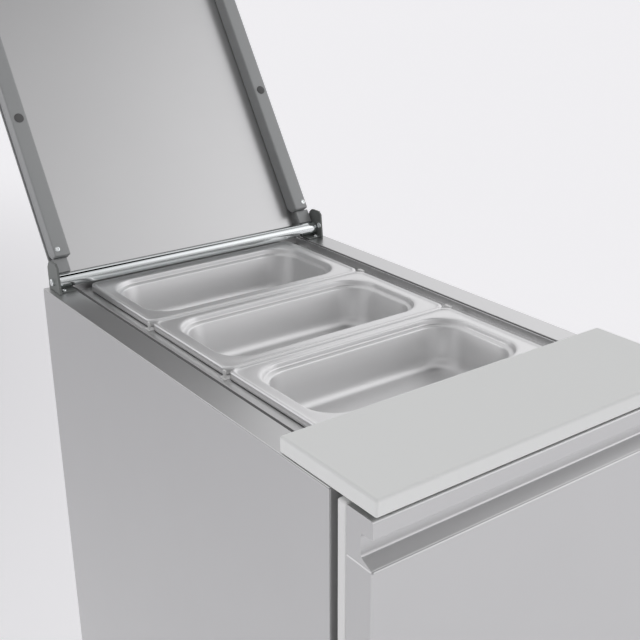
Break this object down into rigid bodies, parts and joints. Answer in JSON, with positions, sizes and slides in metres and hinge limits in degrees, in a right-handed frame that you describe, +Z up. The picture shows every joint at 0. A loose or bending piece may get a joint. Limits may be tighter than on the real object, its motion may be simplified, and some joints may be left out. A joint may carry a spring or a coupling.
{
  "type": "sandwich prep table",
  "caption": "Compact refrigerated sandwich prep table: steel cabinet with a door, a hinged lid over a well of food pans, and a white cutting board in front.",
  "frame": {"origin": "on the floor, under the centre of the whole table's bounding box as it stands with its lid open", "axes": "+Z up, +X to the right of someone at the cutting board, -Y towards that person"},
  "size_m": [0.442, 0.9832, 1.3063],
  "materials": {
    "stainless_panel": "satin brushed stainless steel",
    "stainless_pan": "pressed and satin polished stainless steel, lighter than the sheet",
    "lid_arm_steel": "grey satin metal, darker than the lid",
    "bright_rod": "bright zinc-plated steel",
    "dark_bracket": "dark grey, half gloss",
    "white_board": "white polyethylene, finely grained",
    "white_plastic": "moulded white plastic",
    "black_plastic": "moulded black plastic",
    "seal_rubber": "magnetic door seal, dark grey",
    "foam": "rigid polyurethane foam",
    "green_lens": "green translucent rocker",
    "copper": "drawn copper tube",
    "coil_fins": "thin aluminium fins",
    "compressor_black": "black enamel",
    "zinc_fork": "zinc-plated pressed steel",
    "grey_tyre": "moulded grey rubber tread",
    "red_plastic": "moulded red plastic",
    "clear_tube": "pale vinyl tube"
  },
  "bodies": {
    "cabinet": {"side_panel_left": "stainless_panel", "side_panel_right": "stainless_panel", "rear_panel": "stainless_panel", "base_pan": "stainless_panel", "front_frame": "stainless_panel", "insulation": "foam", "liner": "stainless_panel", "wire_shelf": "stainless_panel", "deck_top": "stainless_panel", "well_frame": "stainless_panel", "divider_bar_front": "white_plastic", "divider_bar_rear": "white_plastic", "well_seal": "seal_rubber", "hinge_bracket_left": "dark_bracket", "hinge_bracket_right": "dark_bracket", "door_hinge_top": "dark_bracket", "door_hinge_bottom": "dark_bracket", "front_grille": "stainless_panel", "controller_body": "black_plastic", "rocker_housing": "black_plastic", "compressor": "compressor_black", "condenser": "coil_fins", "condenser_fan_motor": "compressor_black", "evaporation_tray": "black_plastic", "drain_tube": "clear_tube", "power_inlet": "black_plastic", "suction_pipe": "copper", "evaporator": "coil_fins", "evaporator_cover": "white_plastic"},
    "lid": {"cross_rod": "bright_rod", "lid_panel": "stainless_panel", "lid_arm_left": "lid_arm_steel", "lid_arm_right": "lid_arm_steel", "hinge_strap_left": "lid_arm_steel", "hinge_strap_right": "lid_arm_steel"},
    "board": {"cutting_board": "white_board"},
    "front_pan": {"pan_front": "stainless_pan"},
    "middle_pan": {"pan_middle": "stainless_pan"},
    "rear_pan": {"pan_rear": "stainless_pan"},
    "door": {"door_outer_skin": "stainless_panel", "door_core": "foam", "door_grip": "stainless_panel", "door_inner_panel": "white_plastic", "door_gasket": "seal_rubber"},
    "set_key": {"key_set": "black_plastic"},
    "up_key": {"key_up": "black_plastic"},
    "down_key": {"key_down": "black_plastic"},
    "rocker": {"power_rocker": "green_lens"},
    "condenser_blades": {"condenser_fan": "black_plastic"},
    "evaporator_blades": {"evaporator_fan": "black_plastic"},
    "fork_front_left": {"castor_fork_front_left": "zinc_fork"},
    "wheel_front_left": {"castor_wheel_front_left": "grey_tyre"},
    "fork_rear_left": {"castor_fork_rear_left": "zinc_fork"},
    "wheel_rear_left": {"castor_wheel_rear_left": "grey_tyre"},
    "fork_front_right": {"castor_fork_front_right": "zinc_fork"},
    "wheel_front_right": {"castor_wheel_front_right": "grey_tyre"},
    "fork_rear_right": {"castor_fork_rear_right": "zinc_fork"},
    "wheel_rear_right": {"castor_wheel_rear_right": "grey_tyre"},
    "pedal_front_left": {"brake_pedal_front_left": "red_plastic"},
    "pedal_front_right": {"brake_pedal_front_right": "red_plastic"}
  },
  "joints": [
    {"name": "lid_hinge", "type": "hinge", "parent": "cabinet", "child": "lid", "pos_m": [0, 0.18942, 0.8525], "axis": [-1, 0, 0], "range_deg": [-123, 0]},
    {"name": "board_lift", "type": "slide", "parent": "cabinet", "child": "board", "axis": [0, 0, 1], "range_m": [0, 0.15]},
    {"name": "pan_front_lift", "type": "slide", "parent": "cabinet", "child": "front_pan", "axis": [0, 0, 1], "range_m": [0, 0.12]},
    {"name": "pan_middle_lift", "type": "slide", "parent": "cabinet", "child": "middle_pan", "axis": [0, 0, 1], "range_m": [0, 0.12]},
    {"name": "pan_rear_lift", "type": "slide", "parent": "cabinet", "child": "rear_pan", "axis": [0, 0, 1], "range_m": [0, 0.002]},
    {"name": "door_hinge", "type": "hinge", "parent": "cabinet", "child": "door", "pos_m": [0.2075, -0.45758, 0.3305], "axis": [0, 0, 1], "range_deg": [0, 110]},
    {"name": "key_set_press", "type": "slide", "parent": "cabinet", "child": "set_key", "axis": [0, 1, 0], "range_m": [0, 0.001], "stiffness_N_per_m": 400},
    {"name": "key_up_press", "type": "slide", "parent": "cabinet", "child": "up_key", "axis": [0, 1, 0], "range_m": [0, 0.001], "stiffness_N_per_m": 400},
    {"name": "key_down_press", "type": "slide", "parent": "cabinet", "child": "down_key", "axis": [0, 1, 0], "range_m": [0, 0.001], "stiffness_N_per_m": 400},
    {"name": "rocker_tilt", "type": "hinge", "parent": "cabinet", "child": "rocker", "pos_m": [0.1675, -0.45858, 0.2955], "axis": [1, 0, 0], "range_deg": [0, 14]},
    {"name": "condenser_fan_spin", "type": "hinge", "parent": "cabinet", "child": "condenser_blades", "pos_m": [-0.055, -0.29958, 0.215], "axis": [0, 1, 0], "continuous": true},
    {"name": "evaporator_fan_spin", "type": "hinge", "parent": "cabinet", "child": "evaporator_blades", "pos_m": [0, 0.09442, 0.53], "axis": [0, 1, 0], "continuous": true},
    {"name": "castor_swivel_front_left", "type": "hinge", "parent": "cabinet", "child": "fork_front_left", "pos_m": [-0.168, -0.37158, 0.1117], "axis": [0, 0, 1], "continuous": true},
    {"name": "castor_roll_front_left", "type": "hinge", "parent": "fork_front_left", "child": "wheel_front_left", "pos_m": [-0.168, -0.34958, 0.03718], "axis": [1, 0, 0], "continuous": true},
    {"name": "castor_swivel_rear_left", "type": "hinge", "parent": "cabinet", "child": "fork_rear_left", "pos_m": [-0.168, 0.15342, 0.1117], "axis": [0, 0, 1], "continuous": true},
    {"name": "castor_roll_rear_left", "type": "hinge", "parent": "fork_rear_left", "child": "wheel_rear_left", "pos_m": [-0.168, 0.17542, 0.03718], "axis": [1, 0, 0], "continuous": true},
    {"name": "castor_swivel_front_right", "type": "hinge", "parent": "cabinet", "child": "fork_front_right", "pos_m": [0.168, -0.37158, 0.1117], "axis": [0, 0, 1], "continuous": true},
    {"name": "castor_roll_front_right", "type": "hinge", "parent": "fork_front_right", "child": "wheel_front_right", "pos_m": [0.168, -0.34958, 0.03718], "axis": [1, 0, 0], "continuous": true},
    {"name": "castor_swivel_rear_right", "type": "hinge", "parent": "cabinet", "child": "fork_rear_right", "pos_m": [0.168, 0.15342, 0.1117], "axis": [0, 0, 1], "continuous": true},
    {"name": "castor_roll_rear_right", "type": "hinge", "parent": "fork_rear_right", "child": "wheel_rear_right", "pos_m": [0.168, 0.17542, 0.03718], "axis": [1, 0, 0], "continuous": true},
    {"name": "brake_pedal_front_left", "type": "hinge", "parent": "fork_front_left", "child": "pedal_front_left", "pos_m": [-0.168, -0.36958, 0.0855], "axis": [-1, 0, 0], "range_deg": [0, 8]},
    {"name": "brake_pedal_front_right", "type": "hinge", "parent": "fork_front_right", "child": "pedal_front_right", "pos_m": [0.168, -0.36958, 0.0855], "axis": [-1, 0, 0], "range_deg": [0, 8]}
  ]
}
